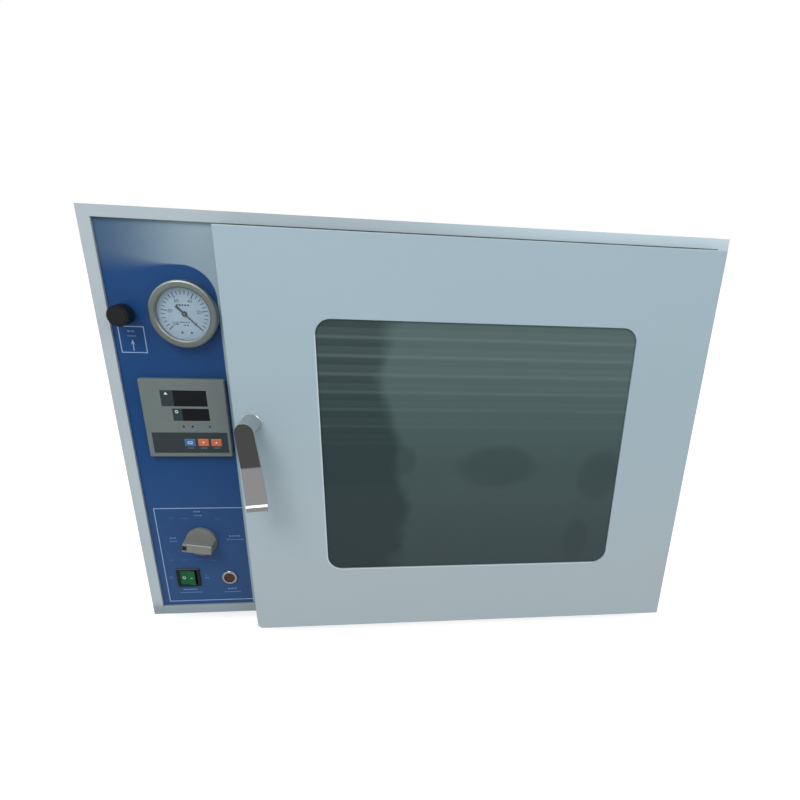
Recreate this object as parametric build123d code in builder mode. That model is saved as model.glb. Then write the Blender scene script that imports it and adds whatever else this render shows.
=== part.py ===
"""Bench vacuum oven: an overlay door on the right, a control column on the left.

Frame: +Z up, the door faces -Y, +X is the user's right.
The origin lies on the ground, at the middle of the whole oven's footprint.
Depths are counted back from the front plane of the housing's flanges.
"""
import os
from math import cos, radians, sin
from build123d import *

# ---------------------------------------------------------------- housing
housing_w = 735
housing_h = 510
housing_d = 440
sheet = 1.5
foot_h = 25
foot_r = 18
foot_inset = 62
side_flange = 13
top_flange = 12
bottom_flange = 12
panel_recess = 4
rear_return = 14
column_w = 146

# ---------------------------------------------------------------- chamber
chamber_side_gap = 224
chamber_hinge_gap = 96
chamber_floor_gap = 72
chamber_roof_gap = 93
chamber_rear_gap = 70
chamber_w = housing_w - chamber_side_gap - chamber_hinge_gap
chamber_h = housing_h - chamber_floor_gap - chamber_roof_gap
chamber_d = housing_d - chamber_rear_gap
chamber_wall = 4
chamber_r = 15
flange_border = 35
flange_t = 12
flange_proud = 3
flange_lip = 8
flange_lip_t = 3
seal_offset = 9
seal_w = 10
seal_groove = 5
mat_t = 3
wool_t = 45
rail_spread = 300
rail_w = 30
shelf_t = 1.5
shelf_edge = 8
shelf_gap_side = 7.5
shelf_heights = (100, 215)
shelf_hole_r = 7
ledge_w = 12
upright_w = 18

# ---------------------------------------------------------------- door
door_left_gap = 143
door_right_gap = 19
door_drop = 5
door_top_gap = 13
door_gap = 4
door_t = 32
window_left_gap = 98
window_right_gap = 95
window_floor = 90
window_top_gap = 91
window_r = 18
window_recess = 2
pane_t = 4
pane_lap = 10
retainer_lap = 12
retainer_t = 6
glass_t = 12
glass_border = 28
frame_t = 2.5
liner_t = 1.5
clip_t = 1.5
door_clip = 4.5
clip_w = 24
clip_lap = 6
clip_reach = 12

# ---------------------------------------------------------------- hinge
hinge_inset = 11
hinge_pin_r = 4
hinge_block_half = 9
hinge_block_h = 20
bush_wall = 1.5
bush_flange_r = 7.5
bush_flange_t = 1.5
bracket_t = 3
bracket_half = 7
bracket_back = 45
bracket_tab_h = 30
bracket_inset = 9
slot_clear = 0.5
fit = 0.06
play = 0.3

# ---------------------------------------------------------------- handle and latch
handle_side_gap = 18.8
handle_height = 289.4
rosette_r = 12
rosette_t = 2
hub_r = 11.6
lever_w = 21
lever_end_w = 24.5
lever_t = 4
lever_len = 98
lever_reach = 39
lever_flare = 9
lever_tilt = 4.8
shaft_r = 5
handle_bush_r = 8
cam_len = 19
cam_w = 12
cam_t = 4
cam_gap = 1.5
catch_t = 2

# ---------------------------------------------------------------- control column
gauge_side = 94.3
gauge_height = 401.6
gauge_r = 37
gauge_case_r = 30.9
gauge_proud = 11.5
gauge_depth = 26
vent_side = 31.7
vent_height = 400
vent_knob_r = 11.5
vent_knob_t = 20
vent_stand = 7
controller_side = 80.7
controller_height = 279.5
controller_size = 96
controller_cut = 92
controller_proud = 8
controller_depth = 76
valve_side = 74.8
valve_height = 110.3
valve_knob_r = 19.8
valve_knob_t = 4.7
valve_bar_t = 24.6
valve_bar_w = 13.4
valve_bar_len = 37.4
valve_turn = -9.5
switch_side = 51.1
switch_height = 55.2
switch_w = 30
switch_h = 27.5
rocker_w = 20.2
rocker_h = 21.2
rocker_tilt = 10
lamp_side = 104
lamp_height = 53.8
lamp_r = 10
lens_r = 7

# ---------------------------------------------------------------- vacuum line
manifold_side = 151
manifold_depth = 150
manifold_r = 9
port_height = 372
port_r = 7
tube_r = 4
tube_bend = 18
valve_tube_r = 5
nozzle_side = 36
nozzle_r = 5
nozzle_len = 32
nozzle_flange_r = 15
vent_tube_height = 350

# ---------------------------------------------------------------- datums
left = -housing_w / 2
right = housing_w / 2
bottom = foot_h
top = foot_h + housing_h
front_reach = door_gap + door_t + lever_reach + lever_flare
front = (front_reach - housing_d - nozzle_len) / 2

chamber_x0 = left + chamber_side_gap
chamber_x1 = chamber_x0 + chamber_w
chamber_z0 = bottom + chamber_floor_gap
chamber_z1 = chamber_z0 + chamber_h
chamber_mid = (chamber_x0 + chamber_x1) / 2
flange_front = panel_recess - flange_proud
flange_back = flange_front + flange_t
chamber_back = flange_back + chamber_d

door_x0 = left + door_left_gap
door_x1 = right - door_right_gap
door_z0 = bottom - door_drop
door_z1 = top - door_top_gap
door_back = -door_gap
door_front = -door_gap - door_t
window_x1 = door_x1 - window_right_gap
window_x0 = door_x0 + window_left_gap
window_z0 = door_z0 + window_floor
window_z1 = door_z1 - window_top_gap
skin_back = door_front + sheet

hinge_x = door_x1 - hinge_inset
hinge_depth = (door_front + door_back) / 2

handle_x = door_x0 + handle_side_gap
handle_z = door_z0 + handle_height
gauge_x = left + gauge_side
gauge_z = bottom + gauge_height
vent_x = left + vent_side
vent_z = bottom + vent_height
controller_x = left + controller_side
controller_z = bottom + controller_height
valve_x = left + valve_side
valve_z = bottom + valve_height
switch_x = left + switch_side
switch_z = bottom + switch_height
lamp_x = left + lamp_side
lamp_z = bottom + lamp_height
manifold_x = left + manifold_side
port_z = bottom + port_height
nozzle_x = left + nozzle_side
overlay_t = 0.5
face = panel_recess - overlay_t
panel_back = panel_recess + sheet


def facing(depth):
    """Sketch plane across the oven at a depth: its axes are X and Z, its normal points forward."""
    return Plane.XZ.offset(-(front + depth))


def rect(x0, x1, z0, z1, mode=Mode.ADD):
    """Rectangle between two corners of the sketch."""
    with Locations(((x0 + x1) / 2, (z0 + z1) / 2)):
        Rectangle(x1 - x0, z1 - z0, mode=mode)


def rounded(x0, x1, z0, z1, radius, mode=Mode.ADD):
    """Rectangle with round corners between two corners of the sketch."""
    with Locations(((x0 + x1) / 2, (z0 + z1) / 2)):
        RectangleRounded(x1 - x0, z1 - z0, radius, mode=mode)


def disc(x, z, radius, mode=Mode.ADD):
    """Circle at a place on the sketch."""
    with Locations((x, z)):
        Circle(radius, mode=mode)


def block(x0, x1, d0, d1, z0, z1, mode=Mode.ADD):
    """Box between two corners, with its depths counted back from the front plane."""
    with Locations(((x0 + x1) / 2, front + (d0 + d1) / 2, (z0 + z1) / 2)):
        Box(x1 - x0, d1 - d0, z1 - z0, mode=mode)


def at(x, depth, z):
    """Point at a depth behind the front plane."""
    return (x, front + depth, z)


def hinge_slots():
    """Slots through the housing's front where the two hinge brackets come out."""
    for edge, inward in hinge_edges:
        near = edge + inward * (bracket_inset - slot_clear)
        far = edge + inward * (bracket_inset + bracket_t + slot_clear)
        half = bracket_half + slot_clear
        block(hinge_x - half, hinge_x + half, -1, panel_back + 1, min(near, far), max(near, far),
              mode=Mode.SUBTRACT)


hinge_edges = ((door_z1, -1), (door_z0, 1))
screw_r = 2
screw_rows = (bottom + 40, (bottom + top) / 2, top - 40)
screw_columns = (left + rear_return / 2 + 1, right - rear_return / 2 - 1)
screw_places = [(x, z) for x in screw_columns for z in screw_rows]
pieces = {}

# ================================================================ housing
with BuildPart() as outer_cover:
    with BuildSketch(facing(housing_d)):
        rect(left, right, bottom, top)
        rect(left + sheet, right - sheet, bottom, top - sheet, Mode.SUBTRACT)
    extrude(amount=housing_d)
    with BuildSketch(facing(sheet)):
        rect(left, right, bottom, top)
        rect(left + side_flange, right - side_flange, bottom, top - top_flange, Mode.SUBTRACT)
    extrude(amount=sheet)
    with BuildSketch(facing(panel_recess)):
        rect(left + side_flange - sheet, right - side_flange + sheet, bottom, top - top_flange + sheet)
        rect(left + side_flange, right - side_flange, bottom, top - top_flange, Mode.SUBTRACT)
    extrude(amount=panel_recess)
    with BuildSketch(facing(housing_d - sheet)):
        rect(left, right, bottom + sheet, top)
        rect(left + rear_return, right - rear_return, bottom, top - rear_return, Mode.SUBTRACT)
        with Locations(*screw_places):
            Circle(screw_r + play, mode=Mode.SUBTRACT)
    extrude(amount=sheet)
    hinge_slots()
pieces["outer_cover"] = outer_cover

with BuildPart() as base_pan:
    block(left + sheet, right - sheet, panel_recess, housing_d, bottom, bottom + sheet)
    block(left + side_flange, right - side_flange, 0, panel_recess, bottom, bottom + sheet)
    block(left + side_flange, right - side_flange, 0, sheet, bottom, bottom + bottom_flange)
    flange_top = bottom + bottom_flange
    block(left + side_flange, right - side_flange, 0, panel_recess, flange_top - sheet, flange_top)
    hinge_slots()
pieces["base_pan"] = base_pan

inlet_x = left + 96
inlet_z = bottom + 60
inlet_w = 28
inlet_h = 24
nozzle_z = valve_z
louvre_side = 200
louvre_drop = 110
louvre_len = 150
louvre_w = 4
louvre_pitch = 12
louvre_count = 7

with BuildPart() as rear_cover:
    with BuildSketch(facing(housing_d)):
        rect(left + sheet, right - sheet, bottom + sheet, top - sheet)
        rect(inlet_x - inlet_w / 2, inlet_x + inlet_w / 2, inlet_z - inlet_h / 2, inlet_z + inlet_h / 2,
             Mode.SUBTRACT)
        disc(nozzle_x, nozzle_z, nozzle_flange_r / 2 + play, Mode.SUBTRACT)
        with Locations(*screw_places):
            Circle(screw_r + play, mode=Mode.SUBTRACT)
        for bank_x in (left + louvre_side, right - louvre_side):
            with Locations((bank_x, top - louvre_drop)):
                with GridLocations(0, louvre_pitch, 1, louvre_count):
                    SlotOverall(louvre_len, louvre_w, mode=Mode.SUBTRACT)
    extrude(amount=sheet)
pieces["rear_cover"] = rear_cover

with BuildPart() as cover_screws:
    with BuildSketch(facing(housing_d)):
        with Locations(*screw_places):
            Circle(screw_r)
    extrude(amount=10)
    with BuildSketch(facing(housing_d + 2.4)):
        with Locations(*screw_places):
            Circle(2 * screw_r)
    extrude(amount=2.4)
    chamfer(cover_screws.faces().sort_by(Axis.Y)[-6:].edges(), length=0.8)
pieces["cover_screws"] = cover_screws

foot_places = [(x, y) for x in (left + foot_inset, right - foot_inset)
               for y in (front + foot_inset, front + housing_d - foot_inset)]
with BuildPart() as feet:
    with BuildSketch(Plane.XY):
        with Locations(*foot_places):
            Circle(foot_r)
    extrude(amount=foot_h, taper=4)
pieces["feet"] = feet

# ================================================================ front sheets
valve_hole_r = 8
vent_hole_r = 6
lamp_hole_r = 8
rocker_cut_w = 27
rocker_cut_h = 25


def panel_holes(gauge_hole_r):
    """Cut-outs shared by the steel panel and the printed film on it."""
    disc(gauge_x, gauge_z, gauge_hole_r, Mode.SUBTRACT)
    disc(vent_x, vent_z, vent_hole_r, Mode.SUBTRACT)
    disc(valve_x, valve_z, valve_hole_r, Mode.SUBTRACT)
    disc(lamp_x, lamp_z, lamp_hole_r, Mode.SUBTRACT)
    half = controller_cut / 2
    rect(controller_x - half, controller_x + half, controller_z - half, controller_z + half, Mode.SUBTRACT)
    rect(switch_x - rocker_cut_w / 2, switch_x + rocker_cut_w / 2,
         switch_z - rocker_cut_h / 2, switch_z + rocker_cut_h / 2, Mode.SUBTRACT)


panel_split = left + column_w
with BuildPart() as control_panel:
    with BuildSketch(facing(panel_back)):
        rect(left + sheet, panel_split, bottom + sheet, top - sheet)
        panel_holes(gauge_case_r + play)
    extrude(amount=sheet)
pieces["control_panel"] = control_panel

with BuildPart() as panel_overlay:
    with BuildSketch(facing(panel_recess)):
        rect(left + side_flange + play, panel_split, bottom + bottom_flange + play, top - top_flange - play)
        panel_holes(gauge_case_r + play)
    extrude(amount=overlay_t)
pieces["panel_overlay"] = panel_overlay

opening_x0 = chamber_x0 - flange_border
opening_x1 = chamber_x1 + flange_border
opening_z0 = chamber_z0 - flange_border
opening_z1 = chamber_z1 + flange_border
cam_depth = panel_back + cam_gap
catch_slot_w = cam_w + 4
catch_slot_low = handle_z - cam_len - 4
catch_slot_high = handle_z + cam_w / 2 + 4
with BuildPart() as front_panel:
    with BuildSketch(facing(panel_back)):
        rect(panel_split, right - sheet, bottom + sheet, top - sheet)
        rounded(opening_x0, opening_x1, opening_z0, opening_z1, chamber_r, Mode.SUBTRACT)
        rect(handle_x - catch_slot_w / 2, handle_x + catch_slot_w / 2, catch_slot_low, catch_slot_high,
             Mode.SUBTRACT)
    extrude(amount=sheet)
    hinge_slots()
pieces["front_panel"] = front_panel

with BuildPart() as latch_catch:
    with BuildSketch(facing(panel_recess)):
        rounded(handle_x - 14, handle_x + 14, catch_slot_low - 12, catch_slot_high + 12, 3)
        rect(handle_x - catch_slot_w / 2, handle_x + catch_slot_w / 2, catch_slot_low, catch_slot_high,
             Mode.SUBTRACT)
    extrude(amount=catch_t)
pieces["latch_catch"] = latch_catch

# ================================================================ chamber
with BuildPart() as chamber_flange:
    with BuildSketch(facing(flange_back)):
        rounded(opening_x0 + play, opening_x1 - play, opening_z0 + play, opening_z1 - play, chamber_r)
        rounded(chamber_x0, chamber_x1, chamber_z0, chamber_z1, chamber_r, Mode.SUBTRACT)
    extrude(amount=flange_t)
    with BuildSketch(facing(panel_back + flange_lip_t)):
        rounded(opening_x0 - flange_lip, opening_x1 + flange_lip, opening_z0 - flange_lip,
                opening_z1 + flange_lip, chamber_r)
        rounded(chamber_x0, chamber_x1, chamber_z0, chamber_z1, chamber_r, Mode.SUBTRACT)
    extrude(amount=flange_lip_t)
    seal_in = seal_offset
    seal_out = seal_offset + seal_w
    with BuildSketch(facing(flange_front)):
        rounded(chamber_x0 - seal_out, chamber_x1 + seal_out, chamber_z0 - seal_out, chamber_z1 + seal_out,
                chamber_r + seal_out)
        rounded(chamber_x0 - seal_in, chamber_x1 + seal_in, chamber_z0 - seal_in, chamber_z1 + seal_in,
                chamber_r + seal_in, Mode.SUBTRACT)
    extrude(amount=-seal_groove, mode=Mode.SUBTRACT)
pieces["chamber_flange"] = chamber_flange

seal_front = door_back + play
with BuildPart() as door_seal:
    with BuildSketch(facing(flange_front + seal_groove)):
        rounded(chamber_x0 - seal_out, chamber_x1 + seal_out, chamber_z0 - seal_out, chamber_z1 + seal_out,
                chamber_r + seal_out)
        rounded(chamber_x0 - seal_in, chamber_x1 + seal_in, chamber_z0 - seal_in, chamber_z1 + seal_in,
                chamber_r + seal_in, Mode.SUBTRACT)
    extrude(amount=flange_front + seal_groove - seal_front)
    fillet(door_seal.faces().sort_by(Axis.Y)[0].edges(), radius=2)
pieces["door_seal"] = door_seal

probe_depth = 300
probe_z = bottom + 105
probe_r = 3
with BuildPart() as chamber:
    with BuildSketch(facing(chamber_back + chamber_wall)):
        rounded(chamber_x0 - chamber_wall, chamber_x1 + chamber_wall, chamber_z0 - chamber_wall,
                chamber_z1 + chamber_wall, chamber_r + chamber_wall)
    extrude(amount=chamber_d + chamber_wall)
    with BuildSketch(facing(chamber_back)):
        rounded(chamber_x0, chamber_x1, chamber_z0, chamber_z1, chamber_r)
    extrude(amount=chamber_d, mode=Mode.SUBTRACT)
    with Locations(at(chamber_x0, manifold_depth, port_z)):
        Cylinder(port_r + fit, 4 * chamber_wall, rotation=(0, 90, 0), mode=Mode.SUBTRACT)
    with Locations(at(chamber_x0, probe_depth, probe_z)):
        Cylinder(probe_r + fit, 4 * chamber_wall, rotation=(0, 90, 0), mode=Mode.SUBTRACT)
pieces["chamber"] = chamber

shell_x0 = chamber_x0 - chamber_wall
shell_x1 = chamber_x1 + chamber_wall
shell_z0 = chamber_z0 - chamber_wall
shell_z1 = chamber_z1 + chamber_wall
rail_d0 = flange_back + 20
rail_d1 = chamber_back - 10
with BuildPart() as support_rails:
    for side in (-1, 1):
        rail_x = chamber_mid + side * rail_spread / 2
        block(rail_x - rail_w / 2, rail_x + rail_w / 2, rail_d0, rail_d1, bottom + sheet, shell_z0)
        block(rail_x - rail_w / 2 + 2, rail_x + rail_w / 2 - 2, rail_d0, rail_d1, bottom + sheet,
              shell_z0 - 2, mode=Mode.SUBTRACT)
pieces["support_rails"] = support_rails

mat_d0 = flange_back + 30
mat_d1 = chamber_back - 20
mat_half = chamber_w / 2 - 25
mat_low = probe_z + 25
mat_high = port_z - 25
floor_mat_half = rail_spread / 2 - rail_w / 2 - 5
with BuildPart() as heating_mats:
    block(chamber_mid - mat_half, chamber_mid + mat_half, mat_d0, mat_d1, shell_z1, shell_z1 + mat_t)
    block(chamber_mid - floor_mat_half, chamber_mid + floor_mat_half, mat_d0, mat_d1, shell_z0 - mat_t, shell_z0)
    block(shell_x0 - mat_t, shell_x0, mat_d0, mat_d1, mat_low, mat_high)
    block(shell_x1, shell_x1 + mat_t, mat_d0, mat_d1, mat_low, mat_high)
pieces["heating_mats"] = heating_mats

wool_d0 = flange_back + 1
wool_in_x0 = shell_x0 - mat_t
wool_in_x1 = shell_x1 + mat_t
wool_in_z0 = shell_z0 - mat_t
wool_in_z1 = shell_z1 + mat_t
wool_back = chamber_back + chamber_wall + wool_t
collar_r = 12
collar_t = 4
with BuildPart() as insulation:
    block(wool_in_x0 - wool_t, wool_in_x1 + wool_t, wool_d0, wool_back, wool_in_z0 - wool_t, wool_in_z1 + wool_t)
    block(wool_in_x0, wool_in_x1, wool_d0, chamber_back + chamber_wall, wool_in_z0, wool_in_z1,
          mode=Mode.SUBTRACT)
    for side in (-1, 1):
        rail_x = chamber_mid + side * rail_spread / 2
        block(rail_x - rail_w / 2, rail_x + rail_w / 2, rail_d0, rail_d1, bottom, wool_in_z0,
              mode=Mode.SUBTRACT)
    with Locations(at(wool_in_x0 - wool_t / 2, manifold_depth, port_z)):
        Cylinder(collar_r + 1, 2 * wool_t, rotation=(0, 90, 0), mode=Mode.SUBTRACT)
    with Locations(at(wool_in_x0 - wool_t / 2, probe_depth, probe_z)):
        Cylinder(collar_r + 1, 2 * wool_t, rotation=(0, 90, 0), mode=Mode.SUBTRACT)
pieces["insulation"] = insulation

with BuildPart() as temperature_probe:
    with BuildSketch(Plane.YZ.offset(shell_x0 - 40)):
        with Locations((front + probe_depth, probe_z)):
            Circle(probe_r)
    extrude(amount=40 + chamber_wall + 20)
    with BuildSketch(Plane.YZ.offset(shell_x0 - 6)):
        with Locations((front + probe_depth, probe_z)):
            RegularPolygon(7, 6)
    extrude(amount=6)
pieces["temperature_probe"] = temperature_probe

shelf_d0 = flange_back + 12
shelf_d1 = chamber_back - 15
upright_low = chamber_z0 + chamber_r + 5
upright_high = chamber_z0 + max(shelf_heights) + 25
upright_depths = (shelf_d0, (shelf_d0 + shelf_d1 - upright_w) / 2, shelf_d1 - upright_w)
with BuildPart() as shelf_rails:
    for wall_x, inward in ((chamber_x0, 1), (chamber_x1, -1)):
        x_in = wall_x + inward * sheet
        for upright_d in upright_depths:
            block(min(wall_x, x_in), max(wall_x, x_in), upright_d, upright_d + upright_w,
                  upright_low, upright_high)
        x_lip = wall_x + inward * (sheet + ledge_w)
        for height in shelf_heights:
            ledge_z = chamber_z0 + height
            block(min(wall_x, x_lip), max(wall_x, x_lip), shelf_d0, shelf_d1, ledge_z - sheet, ledge_z)
pieces["shelf_rails"] = shelf_rails

shelf_x0 = chamber_x0 + shelf_gap_side
shelf_x1 = chamber_x1 - shelf_gap_side
shelf_pitch = 34
shelf_columns = int((shelf_x1 - shelf_x0 - 30) / shelf_pitch)
shelf_ranks = int((shelf_d1 - shelf_d0 - 20) / shelf_pitch)
for shelf_name, height in zip(("lower_shelf", "upper_shelf"), shelf_heights):
    shelf_z = chamber_z0 + height
    with BuildPart() as shelf:
        block(shelf_x0, shelf_x1, shelf_d0, shelf_d1, shelf_z, shelf_z + shelf_edge)
        block(shelf_x0 + shelf_t, shelf_x1 - shelf_t, shelf_d0 + shelf_t, shelf_d1 - shelf_t,
              shelf_z + shelf_t, shelf_z + shelf_edge, mode=Mode.SUBTRACT)
        with BuildSketch(Plane.XY.offset(shelf_z)):
            with Locations((chamber_mid, front + (shelf_d0 + shelf_d1) / 2)):
                with GridLocations(shelf_pitch, shelf_pitch, shelf_columns, shelf_ranks):
                    Circle(shelf_hole_r)
        extrude(amount=shelf_t, mode=Mode.SUBTRACT)
    pieces[shelf_name] = shelf

# ================================================================ vacuum line
with BuildPart() as manifold:
    with BuildSketch(Plane.XY.offset(valve_z - 14)):
        with Locations((manifold_x, front + manifold_depth)):
            Circle(manifold_r)
            Circle(manifold_r - 2, mode=Mode.SUBTRACT)
    extrude(amount=gauge_z + 14 - (valve_z - 14))
    for cap_z in (valve_z - 16, gauge_z + 14):
        with BuildSketch(Plane.XY.offset(cap_z)):
            with Locations((manifold_x, front + manifold_depth)):
                Circle(manifold_r)
        extrude(amount=2)
    with BuildSketch(Plane.YZ.offset(manifold_x)):
        with Locations((front + manifold_depth, port_z)):
            Circle(port_r)
    extrude(amount=chamber_x0 - manifold_x)
    with BuildSketch(Plane.YZ.offset(shell_x0 - collar_t)):
        with Locations((front + manifold_depth, port_z)):
            Circle(collar_r)
    extrude(amount=collar_t)
    with BuildSketch(Plane.YZ.offset(manifold_x)):
        with Locations((front + manifold_depth, port_z)):
            Circle(port_r - 2)
    extrude(amount=chamber_x0 - manifold_x, mode=Mode.SUBTRACT)
    with Locations(at(manifold_x, manifold_depth, (valve_z + gauge_z) / 2)):
        Cylinder(manifold_r - 2, gauge_z - valve_z + 28, mode=Mode.SUBTRACT)
pieces["manifold"] = manifold

gauge_stem_back = gauge_depth + 14
valve_body_w = 30
valve_body_back = panel_back + 46
vent_body_back = panel_back + 36
tube_end_x = manifold_x - manifold_r


def tube(name, points, radius, wall=1):
    """Hollow tube along straight runs joined by round bends."""
    with BuildPart() as pipe:
        with BuildLine() as route:
            FilletPolyline(*points, radius=tube_bend)
        with BuildSketch(Plane(origin=route.line @ 0, z_dir=route.line % 0)):
            Circle(radius)
            Circle(radius - wall, mode=Mode.SUBTRACT)
        sweep()
    pieces[name] = pipe


tube("gauge_tube", (at(gauge_x, gauge_stem_back, gauge_z), at(gauge_x, manifold_depth, gauge_z),
                    at(tube_end_x, manifold_depth, gauge_z)), tube_r)
tube("vent_tube", (at(vent_x, vent_body_back, vent_z), at(vent_x, manifold_depth, vent_z),
                   at(vent_x, manifold_depth, bottom + vent_tube_height),
                   at(tube_end_x, manifold_depth, bottom + vent_tube_height)), tube_r)
tube("valve_tube", (at(valve_x, valve_body_back, valve_z), at(valve_x, manifold_depth, valve_z),
                    at(tube_end_x, manifold_depth, valve_z)), valve_tube_r)
valve_side_depth = panel_back + 28
tube("pump_tube", (at(valve_x - valve_body_w / 2, valve_side_depth, valve_z),
                   at(nozzle_x - valve_tube_r - 8, valve_side_depth, valve_z),
                   at(nozzle_x - valve_tube_r - 8, valve_side_depth + 60, valve_z),
                   at(nozzle_x, valve_side_depth + 100, valve_z),
                   at(nozzle_x, housing_d - 20, valve_z)), valve_tube_r)

with BuildPart() as pump_nozzle:
    with BuildSketch(facing(housing_d - sheet)):
        disc(nozzle_x, nozzle_z, nozzle_flange_r)
    extrude(amount=5)
    with BuildSketch(facing(housing_d)):
        disc(nozzle_x, nozzle_z, nozzle_flange_r / 2)
    extrude(amount=20)
    with BuildSketch(facing(housing_d + 4)):
        disc(nozzle_x, nozzle_z, nozzle_flange_r)
    extrude(amount=4)
    with BuildSketch(facing(housing_d + nozzle_len)):
        disc(nozzle_x, nozzle_z, nozzle_r)
    extrude(amount=nozzle_len)
    with BuildSketch(facing(housing_d + nozzle_len)):
        disc(nozzle_x, nozzle_z, nozzle_r - 2)
    extrude(amount=nozzle_len + 20, mode=Mode.SUBTRACT)
pieces["pump_nozzle"] = pump_nozzle

# ================================================================ gauge
arbor_r = 1
bezel_in = gauge_r - 8
case_in = gauge_case_r - 1.5
gauge_glass_r = gauge_case_r + 1.5
gauge_glass_d0 = face - gauge_proud + 2
gauge_glass_d1 = gauge_glass_d0 + 2
dial_depth = face - 3
with BuildPart() as gauge_bezel:
    with BuildSketch(facing(face)):
        disc(gauge_x, gauge_z, gauge_r)
    extrude(amount=gauge_proud)
    fillet(gauge_bezel.faces().sort_by(Axis.Y)[0].edges(), radius=2.5)
    with BuildSketch(facing(face)):
        disc(gauge_x, gauge_z, bezel_in)
    extrude(amount=gauge_proud, mode=Mode.SUBTRACT)
    with BuildSketch(facing(face)):
        disc(gauge_x, gauge_z, gauge_glass_r)
    extrude(amount=face - gauge_glass_d0, mode=Mode.SUBTRACT)
    lip = gauge_bezel.edges().filter_by(GeomType.CIRCLE).filter_by(lambda e: abs(e.radius - bezel_in) < fit)
    chamfer(lip.sort_by(Axis.Y)[0], length=1.5)
pieces["gauge_bezel"] = gauge_bezel

with BuildPart() as gauge_glass:
    with BuildSketch(facing(gauge_glass_d1)):
        disc(gauge_x, gauge_z, gauge_glass_r)
    extrude(amount=gauge_glass_d1 - gauge_glass_d0)
pieces["gauge_glass"] = gauge_glass

with BuildPart() as gauge_case:
    with BuildSketch(facing(gauge_depth)):
        disc(gauge_x, gauge_z, gauge_case_r)
    extrude(amount=gauge_depth - gauge_glass_d1)
    with BuildSketch(facing(gauge_depth - sheet)):
        disc(gauge_x, gauge_z, case_in)
    extrude(amount=gauge_depth - gauge_glass_d1, mode=Mode.SUBTRACT)
    with BuildSketch(facing(gauge_depth - sheet)):
        disc(gauge_x, gauge_z, 14)
    extrude(amount=gauge_depth - sheet - dial_depth)
    with BuildSketch(facing(dial_depth)):
        disc(gauge_x, gauge_z, arbor_r)
    extrude(amount=dial_depth - gauge_glass_d1 - 0.6)
    with BuildSketch(facing(gauge_stem_back)):
        disc(gauge_x, gauge_z, 6)
    extrude(amount=gauge_stem_back - gauge_depth)
pieces["gauge_case"] = gauge_case

with BuildPart() as gauge_dial:
    with BuildSketch(facing(dial_depth)):
        disc(gauge_x, gauge_z, case_in - 0.1)
        disc(gauge_x, gauge_z, arbor_r + play, Mode.SUBTRACT)
    extrude(amount=0.8)
pieces["gauge_dial"] = gauge_dial

pointer_angle = -46
pointer_tip = 24
pointer_tail = 12
pointer_back = dial_depth - 0.8 - play
with BuildPart() as gauge_pointer:
    with BuildSketch(facing(pointer_back)):
        with Locations(Location((gauge_x, gauge_z), pointer_angle)):
            Polygon((0, 0.9), (pointer_tip, 0.25), (pointer_tip, -0.25), (0, -0.9), align=None)
            Polygon((0, -0.8), (-pointer_tail, -1.5), (-pointer_tail, 1.5), (0, 0.8), align=None)
        disc(gauge_x, gauge_z, 3)
        disc(gauge_x, gauge_z, arbor_r + fit, Mode.SUBTRACT)
    extrude(amount=0.8)
pieces["gauge_pointer"] = gauge_pointer

# ================================================================ vent valve
with BuildPart() as vent_valve:
    with BuildSketch(facing(panel_back + 8)):
        with Locations((vent_x, vent_z)):
            RegularPolygon(8.5, 6)
    extrude(amount=8)
    with BuildSketch(facing(vent_body_back)):
        disc(vent_x, vent_z, 6)
    extrude(amount=vent_body_back - panel_back)
    with BuildSketch(facing(panel_back)):
        disc(vent_x, vent_z, vent_hole_r - fit)
    extrude(amount=panel_back - face + vent_stand)
    with BuildSketch(facing(panel_back + 20)):
        disc(vent_x, vent_z, 2.5 + fit)
    extrude(amount=60, mode=Mode.SUBTRACT)
pieces["vent_valve"] = vent_valve

knurl_count = 26
vent_knob_back = face - vent_stand - play
with BuildPart() as vent_knob:
    with BuildSketch(facing(vent_knob_back)):
        disc(vent_x, vent_z, vent_knob_r)
        with Locations((vent_x, vent_z)):
            with PolarLocations(vent_knob_r + 0.25, knurl_count):
                Circle(1, mode=Mode.SUBTRACT)
    extrude(amount=vent_knob_t)
    with BuildSketch(facing(vent_knob_back - vent_knob_t)):
        disc(vent_x, vent_z, vent_knob_r - 2.2)
    extrude(amount=0.8)
    with BuildSketch(facing(panel_back + 19)):
        disc(vent_x, vent_z, 2.5)
    extrude(amount=panel_back + 19 - vent_knob_back)
pieces["vent_knob"] = vent_knob

# ================================================================ vacuum valve
valve_stem_r = 4
with BuildPart() as vacuum_valve:
    block(valve_x - valve_body_w / 2, valve_x + valve_body_w / 2, panel_back, valve_body_back,
          valve_z - valve_body_w / 2, valve_z + valve_body_w / 2)
    with BuildSketch(facing(panel_back)):
        disc(valve_x, valve_z, valve_hole_r - fit)
    extrude(amount=panel_back - face)
    with BuildSketch(facing(panel_back + 16)):
        disc(valve_x, valve_z, valve_stem_r + fit)
    extrude(amount=40, mode=Mode.SUBTRACT)
    fillet(vacuum_valve.edges().filter_by(Axis.Y).group_by(Axis.Z)[-1], radius=2)
pieces["vacuum_valve"] = vacuum_valve

valve_knob_back = face - play
with BuildPart() as vacuum_knob:
    with BuildSketch(facing(valve_knob_back)):
        disc(valve_x, valve_z, valve_knob_r)
    extrude(amount=valve_knob_t, taper=5)
    with BuildSketch(facing(valve_knob_back)):
        with Locations((valve_x, valve_z)):
            RectangleRounded(valve_bar_len, valve_bar_w, 2, rotation=valve_turn)
    extrude(amount=valve_bar_t, taper=2)
    with BuildSketch(facing(panel_back + 15)):
        disc(valve_x, valve_z, valve_stem_r)
    extrude(amount=panel_back + 15 - valve_knob_back)
    fillet(vacuum_knob.faces().sort_by(Axis.Y)[0].edges(), radius=1)
pieces["vacuum_knob"] = vacuum_knob

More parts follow.
